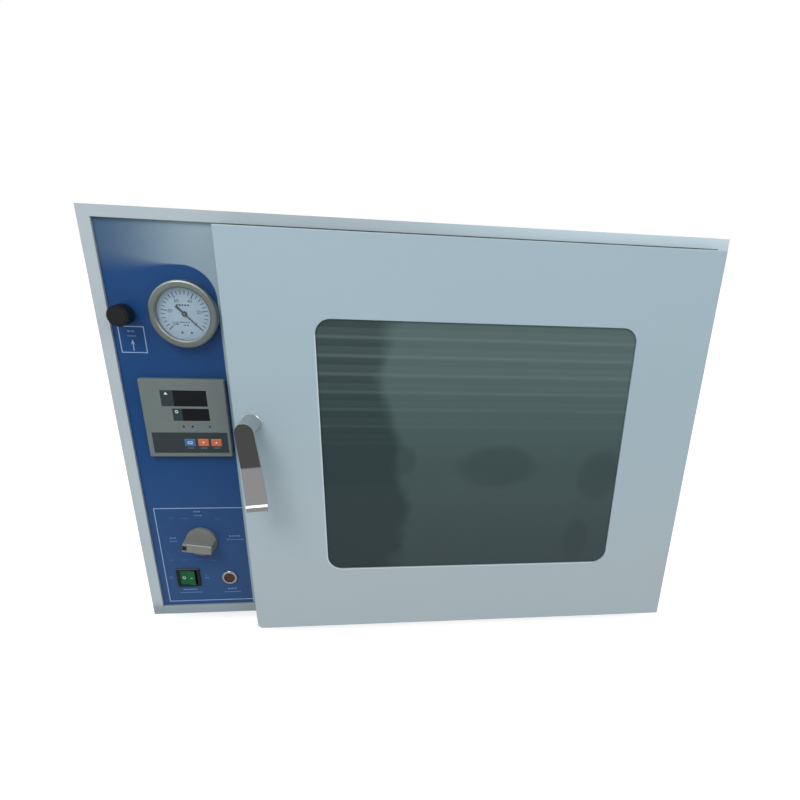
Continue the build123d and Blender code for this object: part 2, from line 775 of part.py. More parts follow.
# ================================================================ controller
half = controller_size / 2
controller_front = face - controller_proud
pv_window = (controller_x - 25.5, controller_x + 26.5, controller_z + 15.6, controller_z + 35)
sv_window = (controller_x - 14.5, controller_x + 27, controller_z - 2.3, controller_z + 12.9)
window_sink = 1.2
key_w = 12.4
key_h = 9.2
key_z = controller_z - 29.6
key_t = 3.2
key_clear = 0.2
key_pocket = 5
key_places = {"set_key": controller_x + 0.5, "down_key": controller_x + 16, "up_key": controller_x + 31}
with BuildPart() as controller_bezel:
    with BuildSketch(facing(face)):
        rounded(controller_x - half, controller_x + half, controller_z - half, controller_z + half, 1.2)
    extrude(amount=controller_proud)
    chamfer(controller_bezel.faces().sort_by(Axis.Y)[0].edges(), length=0.8)
    with BuildSketch(facing(controller_front)):
        rect(*pv_window)
        rect(*sv_window)
    extrude(amount=-window_sink, mode=Mode.SUBTRACT)
    with BuildSketch(facing(controller_front)):
        for key_x in key_places.values():
            rect(key_x - key_w / 2 - key_clear, key_x + key_w / 2 + key_clear,
                 key_z - key_h / 2 - key_clear, key_z + key_h / 2 + key_clear)
    extrude(amount=-key_pocket, mode=Mode.SUBTRACT)
pieces["controller_bezel"] = controller_bezel

with BuildPart() as display_windows:
    with BuildSketch(facing(controller_front + window_sink)):
        rect(*pv_window)
        rect(*sv_window)
    extrude(amount=0.8)
pieces["display_windows"] = display_windows

with BuildPart() as controller_case:
    case_half = controller_cut / 2 - play
    block(controller_x - case_half, controller_x + case_half, face, face + controller_depth,
          controller_z - case_half, controller_z + case_half)
    block(controller_x - case_half + 2, controller_x + case_half - 2, face + 2, face + controller_depth - 2,
          controller_z - case_half + 2, controller_z + case_half - 2, mode=Mode.SUBTRACT)
pieces["controller_case"] = controller_case

key_front = controller_front - 0.6
for key_name, key_x in key_places.items():
    with BuildPart() as key:
        with BuildSketch(facing(key_front + key_t)):
            rounded(key_x - key_w / 2, key_x + key_w / 2, key_z - key_h / 2, key_z + key_h / 2, 1)
        extrude(amount=key_t)
        chamfer(key.faces().sort_by(Axis.Y)[0].edges(), length=0.5)
        with BuildSketch(facing(controller_front + key_pocket - 1)):
            disc(key_x, key_z, 1.5)
        extrude(amount=controller_front + key_pocket - 1 - (key_front + key_t))
    pieces[key_name] = key

# ================================================================ rocker switch
rocker_axis = face + 1.5
rocker_rise = 4.5
rocker_dip = 1.6
pocket_w = rocker_w + 2.2
pocket_h = rocker_h + 2 * key_clear
switch_front = face - 2
switch_back = face + 24
pocket_back = face + 14
axle_r = 1.5
axle_len = 1.2
with BuildPart() as switch_housing:
    with BuildSketch(facing(face)):
        rounded(switch_x - switch_w / 2, switch_x + switch_w / 2, switch_z - switch_h / 2,
                switch_z + switch_h / 2, 1.5)
    extrude(amount=face - switch_front)
    chamfer(switch_housing.faces().sort_by(Axis.Y)[0].edges(), length=0.8)
    block(switch_x - rocker_cut_w / 2 + fit, switch_x + rocker_cut_w / 2 - fit, face, switch_back,
          switch_z - rocker_cut_h / 2 + fit, switch_z + rocker_cut_h / 2 - fit)
    block(switch_x - pocket_w / 2, switch_x + pocket_w / 2, switch_front, pocket_back,
          switch_z - pocket_h / 2, switch_z + pocket_h / 2, mode=Mode.SUBTRACT)
    with Locations(at(switch_x, rocker_axis, switch_z)):
        Cylinder(axle_r + fit, pocket_h + 2 * (axle_len + 0.2), mode=Mode.SUBTRACT)
pieces["switch_housing"] = switch_housing

with BuildPart() as rocker:
    with BuildSketch(Plane.XY.offset(switch_z - rocker_h / 2)):
        with Locations(Location((switch_x, front + rocker_axis), -rocker_tilt)):
            Polygon((-rocker_w / 2, -rocker_rise), (0, rocker_dip - rocker_rise), (rocker_w / 2, -rocker_rise),
                    (rocker_w / 2 - 1.5, 0.5), (4, 6), (-4, 6), (1.5 - rocker_w / 2, 0.5), align=None)
    extrude(amount=rocker_h)
    with BuildSketch(Plane.XY.offset(switch_z - rocker_h / 2 - axle_len)):
        with Locations((switch_x, front + rocker_axis)):
            Circle(axle_r)
    extrude(amount=rocker_h + 2 * axle_len)
pieces["rocker"] = rocker

# ================================================================ lamp
with BuildPart() as lamp_body:
    with BuildSketch(facing(face)):
        disc(lamp_x, lamp_z, lamp_r)
    extrude(amount=2.5)
    fillet(lamp_body.faces().sort_by(Axis.Y)[0].edges(), radius=1.2)
    with BuildSketch(facing(face + 22)):
        disc(lamp_x, lamp_z, lamp_hole_r - fit)
    extrude(amount=22)
    with BuildSketch(facing(face + 3)):
        disc(lamp_x, lamp_z, lens_r)
    extrude(amount=10, mode=Mode.SUBTRACT)
pieces["lamp_body"] = lamp_body

with BuildPart() as lamp_lens:
    with BuildSketch(facing(face + 3)):
        disc(lamp_x, lamp_z, lens_r)
    extrude(amount=5)
    fillet(lamp_lens.faces().sort_by(Axis.Y)[0].edges(), radius=1.8)
pieces["lamp_lens"] = lamp_lens

# ================================================================ electrics
with BuildPart() as power_inlet:
    with BuildSketch(facing(housing_d + 3)):
        with Locations((inlet_x, inlet_z)):
            RectangleRounded(inlet_w + 20, inlet_h + 6, 4)
    extrude(amount=3)
    block(inlet_x - inlet_w / 2 + fit, inlet_x + inlet_w / 2 - fit, housing_d - 26, housing_d,
          inlet_z - inlet_h / 2 + fit, inlet_z + inlet_h / 2 - fit)
    with BuildSketch(facing(housing_d + 3)):
        with Locations((inlet_x, inlet_z)):
            RectangleRounded(inlet_w - 4, inlet_h - 8, 3)
            for pin_x, pin_z in ((-7, -2), (7, -2), (0, 2)):
                with Locations((pin_x, pin_z)):
                    Rectangle(2, 5, mode=Mode.SUBTRACT)
    extrude(amount=18, mode=Mode.SUBTRACT)
pieces["power_inlet"] = power_inlet

relay_w = 52
relay_len = 60
relay_h = 24
relay_cap = 7
relay_step = 4
relay_x0 = left + relay_w
relay_back = housing_d - 130
with BuildPart() as heater_relay:
    block(relay_x0, relay_x0 + relay_w, relay_back - relay_len, relay_back, bottom + sheet, bottom + sheet + relay_h)
    block(relay_x0 + relay_step, relay_x0 + relay_w - relay_step, relay_back - relay_len + relay_step,
          relay_back - relay_step, bottom + sheet + relay_h, bottom + sheet + relay_h + relay_cap)
pieces["heater_relay"] = heater_relay

# ================================================================ door
def door_outline(inset, mode=Mode.ADD):
    """The door's outline, with its free lower corner clipped, drawn in from the edge."""
    x0, x1 = door_x0 + inset, door_x1 - inset
    z0, z1 = door_z0 + inset, door_z1 - inset
    Polygon((x0 + door_clip, z0), (x1, z0), (x1, z1), (x0, z1), (x0, z0 + door_clip), align=None, mode=mode)


def window_outline(grow, mode=Mode.ADD):
    """The window's outline, grown outwards."""
    rounded(window_x0 - grow, window_x1 + grow, window_z0 - grow, window_z1 + grow, window_r + grow, mode)


def hinge_band(x0, x1, d0, d1, near, far):
    """Cuts the same pocket at both hinges, measured from the door's upper and lower edges."""
    for edge, inward in hinge_edges:
        z0, z1 = sorted((edge + inward * near, edge + inward * far))
        block(x0, x1, d0, d1, z0, z1, mode=Mode.SUBTRACT)


arm_near = bracket_inset - slot_clear
arm_far = bracket_inset + bracket_t + slot_clear
bush_near = bracket_inset + bracket_t + play
block_near = bush_near + bush_flange_t
block_far = block_near + hinge_block_h

with BuildPart() as door_shell:
    with BuildSketch(facing(door_back)):
        door_outline(0)
    extrude(amount=door_t)
    fillet(door_shell.faces().sort_by(Axis.Y)[0].edges(), radius=1)
    with BuildSketch(facing(door_back)):
        door_outline(sheet)
    extrude(amount=door_t - sheet, mode=Mode.SUBTRACT)
    with BuildSketch(facing(door_front + window_recess)):
        window_outline(sheet)
    extrude(amount=window_recess)
    with BuildSketch(facing(door_front)):
        window_outline(0)
        disc(handle_x, handle_z, shaft_r + play)
    extrude(amount=-(window_recess + sheet), mode=Mode.SUBTRACT)
    hinge_band(door_x1 - sheet - 1, door_x1 + 1, skin_back, door_back + 1, arm_near, arm_far)
pieces["door_shell"] = door_shell

pane_front = door_front + window_recess
pane_back = pane_front + pane_t
with BuildPart() as window_pane:
    with BuildSketch(facing(pane_back)):
        window_outline(pane_lap)
    extrude(amount=pane_t)
pieces["window_pane"] = window_pane

with BuildPart() as window_retainer:
    with BuildSketch(facing(skin_back + retainer_t)):
        window_outline(pane_lap + retainer_lap)
        window_outline(sheet, Mode.SUBTRACT)
    extrude(amount=retainer_t)
    with BuildSketch(facing(pane_back)):
        window_outline(pane_lap + play)
    extrude(amount=pane_t, mode=Mode.SUBTRACT)
pieces["window_retainer"] = window_retainer

glass_x0 = chamber_x0 - glass_border
glass_x1 = chamber_x1 + glass_border
glass_z0 = chamber_z0 - glass_border
glass_z1 = chamber_z1 + glass_border
glass_front = door_back - glass_t
with BuildPart() as inner_glass:
    with BuildSketch(facing(door_back)):
        rounded(glass_x0, glass_x1, glass_z0, glass_z1, chamber_r)
    extrude(amount=glass_t)
    chamfer(inner_glass.faces().sort_by(Axis.Y)[-1].edges(), length=1)
pieces["inner_glass"] = inner_glass

block_x0 = hinge_x - hinge_block_half
with BuildPart() as door_frame:
    with BuildSketch(facing(glass_front)):
        door_outline(sheet)
        window_outline(sheet, Mode.SUBTRACT)
        disc(handle_x, handle_z, handle_bush_r + play, Mode.SUBTRACT)
    extrude(amount=frame_t)
    hinge_band(block_x0 - play, door_x1, skin_back, door_back, 0, block_far + play)
pieces["door_frame"] = door_frame

with BuildPart() as door_liner:
    with BuildSketch(facing(door_back)):
        door_outline(sheet)
        rounded(glass_x0 - play, glass_x1 + play, glass_z0 - play, glass_z1 + play, chamber_r + play,
                Mode.SUBTRACT)
        disc(handle_x, handle_z, shaft_r + play, Mode.SUBTRACT)
    extrude(amount=liner_t)
    hinge_band(hinge_x - bracket_half - 1, door_x1, skin_back, door_back + 1, arm_near, arm_far)
pieces["door_liner"] = door_liner

clip_x = ((glass_x0, 1), (glass_x1, -1))
clip_z = ((glass_z0, 1), (glass_z1, -1))
glass_mid_z = (glass_z0 + glass_z1) / 2
glass_mid_x = (glass_x0 + glass_x1) / 2
with BuildPart() as glass_clips:
    with BuildSketch(facing(door_back + clip_t)):
        for edge, inward in clip_x:
            ends = sorted((edge - inward * clip_reach, edge + inward * clip_lap))
            for mid in (glass_mid_z - glass_border * 4, glass_mid_z + glass_border * 4):
                rounded(ends[0], ends[1], mid - clip_w / 2, mid + clip_w / 2, 2)
        for edge, inward in clip_z:
            ends = sorted((edge - inward * clip_reach, edge + inward * clip_lap))
            for mid in (glass_mid_x - glass_border * 5, glass_mid_x + glass_border * 5):
                rounded(mid - clip_w / 2, mid + clip_w / 2, ends[0], ends[1], 2)
    extrude(amount=clip_t)
pieces["glass_clips"] = glass_clips

# ================================================================ hinges
hinge_y = front + hinge_depth
bush_r = hinge_pin_r + bush_wall
with BuildPart() as hinge_blocks:
    for edge, inward in hinge_edges:
        z0, z1 = sorted((edge + inward * block_near, edge + inward * block_far))
        block(block_x0, door_x1 - sheet, skin_back, hinge_depth + hinge_block_half, z0, z1)
        with BuildSketch(Plane.XY.offset(z0)):
            with Locations((hinge_x, hinge_y)):
                Circle(bush_r + fit)
        extrude(amount=hinge_block_h, mode=Mode.SUBTRACT)
pieces["hinge_blocks"] = hinge_blocks

with BuildPart() as hinge_bushes:
    for edge, inward in hinge_edges:
        with BuildSketch(Plane.XY.offset(edge + inward * bush_near)):
            with Locations((hinge_x, hinge_y)):
                Circle(bush_flange_r)
                Circle(hinge_pin_r + fit, mode=Mode.SUBTRACT)
        extrude(amount=inward * bush_flange_t)
        with BuildSketch(Plane.XY.offset(edge + inward * block_near)):
            with Locations((hinge_x, hinge_y)):
                Circle(bush_r)
                Circle(hinge_pin_r + fit, mode=Mode.SUBTRACT)
        extrude(amount=inward * hinge_block_h)
pieces["hinge_bushes"] = hinge_bushes

with BuildPart() as hinge_brackets:
    for edge, inward in hinge_edges:
        outer = edge + inward * bracket_inset
        with BuildSketch(Plane.XY.offset(outer)):
            with Locations((hinge_x, hinge_y)):
                Circle(bracket_half)
            rect(hinge_x - bracket_half, hinge_x + bracket_half, hinge_y, front + bracket_back)
            rect(hinge_x - bracket_half, right - sheet, front + panel_back + 2, front + bracket_back)
        extrude(amount=inward * bracket_t)
        z0, z1 = sorted((outer, outer + inward * (bracket_t + bracket_tab_h)))
        block(right - sheet - bracket_t, right - sheet, panel_back + 2, bracket_back, z0, z1)
        with BuildSketch(Plane.XY.offset(outer)):
            with Locations((hinge_x, hinge_y)):
                Circle(hinge_pin_r)
        extrude(amount=inward * (bracket_t + play + bush_flange_t + hinge_block_h))
pieces["hinge_brackets"] = hinge_brackets

# ================================================================ handle
rosette_front = door_front - rosette_t
hub_back = rosette_front - play
lever_back = door_front - lever_reach + lever_t
cam_back = cam_depth + cam_t
with BuildPart() as handle_rosette:
    with BuildSketch(facing(door_front)):
        disc(handle_x, handle_z, rosette_r)
        disc(handle_x, handle_z, shaft_r + play, Mode.SUBTRACT)
    extrude(amount=rosette_t)
    chamfer(handle_rosette.faces().sort_by(Axis.Y)[0].edges().sort_by(SortBy.LENGTH)[-1], length=1)
pieces["handle_rosette"] = handle_rosette

with BuildPart() as handle_bush:
    with BuildSketch(facing(door_back - liner_t)):
        disc(handle_x, handle_z, handle_bush_r)
        disc(handle_x, handle_z, shaft_r + fit, Mode.SUBTRACT)
    extrude(amount=door_back - liner_t - skin_back)
pieces["handle_bush"] = handle_bush

tilt = radians(lever_tilt)
lever_across = (cos(tilt), 0, sin(tilt))
lever_side = Plane(origin=at(handle_x, 0, handle_z), x_dir=(0, 1, 0), z_dir=lever_across)
lever_front = Plane(origin=at(handle_x, 0, handle_z), x_dir=lever_across, z_dir=(0, -1, 0))
lever_mid = lever_back - lever_t / 2
hub_taper = 6
with BuildPart() as handle_lever:
    with BuildSketch(lever_side.offset(-lever_w)):
        with BuildLine():
            FilletPolyline((lever_mid, lever_w), (lever_mid, -0.42 * lever_len),
                           (lever_mid - 0.8 * lever_flare, -0.88 * lever_len),
                           (lever_mid - 2 * lever_flare, -0.99 * lever_len), radius=(60, 12))
        trace(line_width=lever_t)
    extrude(amount=2 * lever_w)
    with BuildSketch(lever_front):
        Circle(lever_w / 2)
        Polygon((-lever_w / 2, 0), (lever_w / 2, 0), (lever_end_w / 2, -lever_len), (-lever_end_w / 2, -lever_len),
                align=None)
    extrude(amount=front_reach, mode=Mode.INTERSECT)
    with BuildSketch(facing(hub_back)):
        disc(handle_x, handle_z, hub_r)
    extrude(amount=hub_back - lever_back, taper=hub_taper)
    with BuildSketch(facing(hub_back)):
        disc(handle_x, handle_z, shaft_r + fit)
    extrude(amount=0.6 * (hub_back - lever_back), mode=Mode.SUBTRACT)
pieces["handle_lever"] = handle_lever

shaft_front = hub_back - 0.6 * (hub_back - lever_back)
with BuildPart() as latch_shaft:
    with BuildSketch(facing(cam_back)):
        disc(handle_x, handle_z, shaft_r)
    extrude(amount=cam_back - shaft_front)
    with BuildSketch(facing(cam_back)):
        disc(handle_x, handle_z, cam_w / 2)
        rounded(handle_x - cam_len, handle_x, handle_z - cam_w / 2, handle_z + cam_w / 2, 3)
    extrude(amount=cam_t)
pieces["latch_shaft"] = latch_shaft

os.makedirs("parts", exist_ok=True)
for name, piece in pieces.items():
    piece.part.label = name
    export_step(piece.part, f"parts/{name}.step")
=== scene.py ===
"""Looks of the bench vacuum oven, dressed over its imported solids. Metres, in the part's own frame."""
import math

import bmesh
import bpy
from mathutils import Matrix, Vector


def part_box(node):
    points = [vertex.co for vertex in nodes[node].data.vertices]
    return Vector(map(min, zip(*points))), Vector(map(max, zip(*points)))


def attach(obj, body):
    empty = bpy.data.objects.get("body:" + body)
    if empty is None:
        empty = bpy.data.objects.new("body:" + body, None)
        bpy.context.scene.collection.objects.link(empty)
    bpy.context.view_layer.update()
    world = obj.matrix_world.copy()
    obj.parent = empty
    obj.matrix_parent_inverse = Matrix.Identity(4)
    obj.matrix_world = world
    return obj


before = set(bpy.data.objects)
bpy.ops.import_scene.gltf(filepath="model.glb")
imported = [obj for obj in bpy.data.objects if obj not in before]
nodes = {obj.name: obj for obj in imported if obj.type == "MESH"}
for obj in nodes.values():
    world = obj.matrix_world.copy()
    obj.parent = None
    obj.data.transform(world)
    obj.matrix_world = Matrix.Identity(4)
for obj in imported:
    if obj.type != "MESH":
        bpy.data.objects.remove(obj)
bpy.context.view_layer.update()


def middle(node):
    """Centre of a node's box, seen from the front."""
    low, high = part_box(node)
    return (low.x + high.x) / 2, (low.z + high.z) / 2


GAUGE = middle("gauge_dial")
KNOB = middle("vacuum_knob")
SWITCH = middle("switch_housing")
LAMP = middle("lamp_lens")
CONTROL = middle("controller_bezel")
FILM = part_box("panel_overlay")


# ---------------------------------------------------------------- materials
def lin(r, g, b):
    """Linear colour from 8-bit screen values."""
    def one(c):
        c = c / 255
        return c / 12.92 if c <= 0.04045 else ((c + 0.055) / 1.055) ** 2.4
    return (one(r), one(g), one(b), 1.0)


def scaled(colour, k):
    return tuple(min(1.0, c * k) for c in colour[:3]) + (1.0,)


class Graph:
    """Short hands for building a node tree. A value fed to a socket is a constant or another node's output."""

    def __init__(self, tree):
        self.tree = tree
        tree.nodes.clear()

    def add(self, kind):
        return self.tree.nodes.new(kind)

    def link(self, a, b):
        self.tree.links.new(a, b)

    def feed(self, socket, value):
        if isinstance(value, (int, float, tuple)):
            socket.default_value = value
        else:
            self.link(value, socket)

    def noise(self, scale, detail, rough, vector):
        n = self.add("ShaderNodeTexNoise")
        n.inputs["Scale"].default_value = scale
        n.inputs["Detail"].default_value = detail
        n.inputs["Roughness"].default_value = rough
        self.link(vector, n.inputs["Vector"])
        return n.outputs["Fac"]

    def span(self, value, a, b, c, d):
        """Maps a..b to c..d, softly and clamped."""
        m = self.add("ShaderNodeMapRange")
        m.interpolation_type = "SMOOTHSTEP"
        for i, v in enumerate((a, b, c, d)):
            self.feed(m.inputs[i + 1], v)
        self.link(value, m.inputs[0])
        return m.outputs[0]

    def math(self, op, a, b=None):
        m = self.add("ShaderNodeMath")
        m.operation = op
        self.feed(m.inputs[0], a)
        if b is not None:
            self.feed(m.inputs[1], b)
        return m.outputs[0]

    def split(self, vector):
        """The x, y and z outputs of a vector."""
        s = self.add("ShaderNodeSeparateXYZ")
        self.link(vector, s.inputs[0])
        return s.outputs

    def mix(self, factor, a, b):
        """Colour a where the factor is 0, b where it is 1."""
        m = self.add("ShaderNodeMix")
        m.data_type = "RGBA"
        self.feed(m.inputs["Factor"], factor)
        self.feed(m.inputs[6], a)
        self.feed(m.inputs[7], b)
        return m.outputs[2]

    def blend(self, factor, a, b):
        """Shader a where the factor is 0, b where it is 1."""
        m = self.add("ShaderNodeMixShader")
        for i, v in enumerate((factor, a, b)):
            self.link(v, m.inputs[i])
        return m.outputs[0]


class Shade(Graph):
    """A node-based surface: its colour and roughness vary, and a fine grain raises it."""

    def __init__(self, name, colour, rough=0.4, metal=0.0, vary=0.05, patch=14.0, grain=900.0,
                 lift=0.00002, stretch=(1, 1, 1), swing=0.06, edge=0.0, **sockets):
        self.mat = bpy.data.materials.new(name)
        self.mat.use_nodes = True
        super().__init__(self.mat.node_tree)
        out = self.add("ShaderNodeOutputMaterial")
        self.bsdf = self.add("ShaderNodeBsdfPrincipled")
        self.link(self.bsdf.outputs[0], out.inputs[0])
        self.bsdf.inputs["Metallic"].default_value = metal
        for key, value in sockets.items():
            self.bsdf.inputs[key.replace("_", " ")].default_value = value
        self.where = self.add("ShaderNodeTexCoord").outputs["Object"]
        mapping = self.add("ShaderNodeMapping")
        mapping.inputs["Scale"].default_value = stretch
        self.link(self.where, mapping.inputs[0])
        self.stretched = mapping.outputs[0]
        broad = self.noise(patch, 4, 0.55, self.stretched)
        fine = self.noise(grain, 3, 0.6, self.stretched)
        ramp = self.add("ShaderNodeValToRGB")
        ramp.color_ramp.elements[0].position = 0.3
        ramp.color_ramp.elements[1].position = 0.7
        ramp.color_ramp.elements[0].color = scaled(colour, 1 - vary)
        ramp.color_ramp.elements[1].color = scaled(colour, 1 + vary)
        self.link(broad, ramp.inputs[0])
        self.colour = ramp.outputs[0]
        self.link(self.colour, self.bsdf.inputs["Base Color"])
        self.link(self.span(fine, 0.3, 0.7, max(0.02, rough - swing), rough + swing), self.bsdf.inputs["Roughness"])
        bump = self.add("ShaderNodeBump")
        bump.inputs["Strength"].default_value = 0.6
        bump.inputs["Distance"].default_value = lift
        self.link(fine, bump.inputs["Height"])
        if edge:
            bevel = self.add("ShaderNodeBevel")
            bevel.samples = 4
            bevel.inputs["Radius"].default_value = edge
            self.link(bevel.outputs[0], bump.inputs["Normal"])
        self.link(bump.outputs[0], self.bsdf.inputs["Normal"])

    def axes(self):
        return self.split(self.where)

    def paint(self, colour):
        self.link(colour, self.bsdf.inputs["Base Color"])
        self.colour = colour
        return self

    def far(self, a, b):
        """Length of the flat vector a, b."""
        return self.math("SQRT", self.math("ADD", self.math("MULTIPLY", a, a), self.math("MULTIPLY", b, b)))

    def wander(self, scale, detail, reach):
        """A noise that strays half the reach to either side of zero."""
        field = self.noise(scale, detail, 0.5, self.stretched)
        return self.math("MULTIPLY", self.math("SUBTRACT", field, 0.5), reach)


# The cabinet's paint; further down it gets painted shade low down and a painted highlight along the top
body_paint_and_light = Shade("body_paint_and_light", lin(184, 196, 200), rough=0.42, vary=0.03, patch=6, grain=1400, lift=0.00003,
                   edge=0.0006)
door_paint = Shade("door_paint", lin(164, 183, 192), rough=0.36, vary=0.025, patch=5, grain=1300, lift=0.000025,
                   edge=0.0008)
steel = Shade("chamber_steel", lin(176, 178, 178), rough=0.34, metal=1.0, vary=0.05, patch=9, grain=260,
              lift=0.00001, stretch=(1, 1, 14))
zinc = Shade("zinc_plate", lin(150, 153, 156), rough=0.42, metal=1.0, vary=0.10, patch=26, grain=500, lift=0.00001)
brass = Shade("valve_brass", lin(190, 160, 96), rough=0.3, metal=1.0, vary=0.07, patch=60, grain=800, lift=0.00001)
copper = Shade("copper_tube", lin(196, 134, 98), rough=0.3, metal=1.0, vary=0.08, patch=40, grain=600, lift=0.00001)
chrome = Shade("handle_chrome", lin(200, 201, 200), rough=0.09, metal=1.0, vary=0.02, patch=20, grain=500,
               lift=0.000002, swing=0.03)
bezel_steel = Shade("gauge_steel", lin(160, 168, 164), rough=0.42, metal=1.0, vary=0.05, patch=60, grain=900,
                    lift=0.000004, swing=0.05)
dial_enamel = Shade("dial_enamel", lin(158, 182, 200), rough=0.5, vary=0.03, patch=60, grain=1500, lift=0.000004)
dial_ink = Shade("dial_ink", lin(38, 56, 70), rough=0.55, vary=0.06, patch=120, grain=1500, lift=0.000003)
needle_black = Shade("pointer_black", lin(8, 12, 16), rough=0.45, vary=0.06, patch=120, grain=1500, lift=0.000003)
black_plastic = Shade("black_plastic", lin(17, 21, 23), rough=0.42, vary=0.10, patch=90, grain=1800, lift=0.00002)
foot_rubber = Shade("foot_rubber", lin(34, 35, 36), rough=0.75, vary=0.12, patch=40, grain=900, lift=0.00006)
bezel_grey = Shade("controller_grey", lin(110, 120, 118), rough=0.55, vary=0.03, patch=60, grain=2200, lift=0.00003)
band_dark = Shade("controller_band", lin(45, 56, 60), rough=0.5, vary=0.05, patch=90, grain=1600, lift=0.000004)
slate = Shade("display_slate", lin(48, 60, 68), rough=0.3, vary=0.05, patch=90, grain=1600, lift=0.000003)
display_black = Shade("display_black", lin(22, 25, 29), rough=0.16, vary=0.08, patch=60, grain=1600, lift=0.000002)
key_blue = Shade("key_blue", lin(62, 112, 166), rough=0.45, vary=0.05, patch=200, grain=1500, lift=0.00002)
key_orange = Shade("key_orange", lin(206, 112, 66), rough=0.45, vary=0.05, patch=200, grain=1500, lift=0.00002)
print_light = Shade("print_light", lin(150, 178, 212), rough=0.5, vary=0.05, patch=160, grain=1500, lift=0.000003)
print_faint = Shade("print_faint", lin(104, 136, 182), rough=0.5, vary=0.07, patch=160, grain=1500, lift=0.000003)
caption_grey = Shade("caption_grey", lin(104, 124, 128), rough=0.5, vary=0.05, patch=160, grain=1500, lift=0.000003)
print_trace = Shade("print_trace", lin(58, 94, 146), rough=0.5, vary=0.07, patch=160, grain=1500, lift=0.000003)
# A painted highlight for the window's cut edge
painted_edge_highlight = Shade("painted_edge_highlight", lin(214, 224, 226), rough=0.4, vary=0.03, patch=60, grain=1500, lift=0.000003)
print_white = Shade("print_white", lin(226, 236, 238), rough=0.5, vary=0.04, patch=160, grain=1500, lift=0.000003)
knob_grey = Shade("knob_grey", lin(128, 130, 124), rough=0.5, vary=0.10, patch=160, grain=1500, lift=0.00004)
# A painted highlight for the valve knob's upper edge
knob_painted_highlight = Shade("knob_painted_highlight", lin(190, 194, 188), rough=0.4, vary=0.05, patch=160, grain=1500, lift=0.00001)
mark_black = Shade("mark_black", lin(20, 22, 24), rough=0.5, vary=0.08, patch=160, grain=1500, lift=0.000004)
rocker_green = Shade("rocker_green", lin(8, 92, 52), rough=0.28, vary=0.06, patch=90, grain=1500, lift=0.000008,
                     Specular_IOR_Level=0.3, Coat_Weight=0.1, Coat_Roughness=0.12)
lens_red = Shade("lens_red", lin(70, 34, 29), rough=0.22, vary=0.12, patch=160, grain=1300, lift=0.000006,
                 Coat_Weight=0.5, Coat_Roughness=0.08)
silicone = Shade("seal_silicone", lin(206, 204, 196), rough=0.6, vary=0.04, patch=40, grain=1200, lift=0.00003)
mat_orange = Shade("heater_silicone", lin(176, 92, 52), rough=0.65, vary=0.08, patch=30, grain=700, lift=0.00005)
wool = Shade("mineral_wool", lin(190, 176, 128), rough=0.95, vary=0.16, patch=40, grain=260, lift=0.0012)
nylon = Shade("nylon_bush", lin(214, 210, 196), rough=0.5, vary=0.04, patch=80, grain=1200, lift=0.00002)
clear_glass = Shade("inner_glass", lin(196, 214, 206), rough=0.04, vary=0.02, patch=8, grain=300, lift=0.0000005,
                    swing=0.015, Transmission_Weight=0.9, IOR=1.5)
dial_glass = Shade("dial_glass", lin(214, 226, 232), rough=0.04, vary=0.02, patch=30, grain=300, lift=0.0000005,
                   swing=0.015, Alpha=0.06)


def film():
    """The printed film: a blue field with one round corner, and above it a grey-blue fade towards the door."""
    s = Shade("panel_film", lin(28, 72, 126), rough=0.27, vary=0.05, patch=12, grain=1800, lift=0.000010,
              swing=0.04, Specular_IOR_Level=0.3)
    x, _, z = s.axes()
    corner_x, corner_z, radius = GAUGE[0] + 0.0010, GAUGE[1] + 0.0169, 0.0355
    dx = s.math("MAXIMUM", s.math("SUBTRACT", x, corner_x), 0.0)
    dz = s.math("MAXIMUM", s.math("SUBTRACT", z, corner_z), 0.0)
    outside = s.math("SUBTRACT", s.far(dx, dz), radius)
    soft = s.span(x, FILM[0].x + 0.005, corner_x - 0.002, 0.016, 0.0006)
    mask = s.span(s.math("DIVIDE", outside, soft), -1.0, 1.0, 0.0, 1.0)
    across = s.span(x, FILM[0].x - 0.004, FILM[0].x + 0.128, 0.0, 1.0)
    fade = s.mix(across, lin(70, 98, 128), lin(156, 176, 186))
    lower = s.span(z, 0.05, 0.30, 1.0, 0.0)
    field = s.mix(s.math("MULTIPLY", lower, 0.6), s.colour, lin(56, 86, 128))
    return s.paint(s.mix(mask, field, fade))


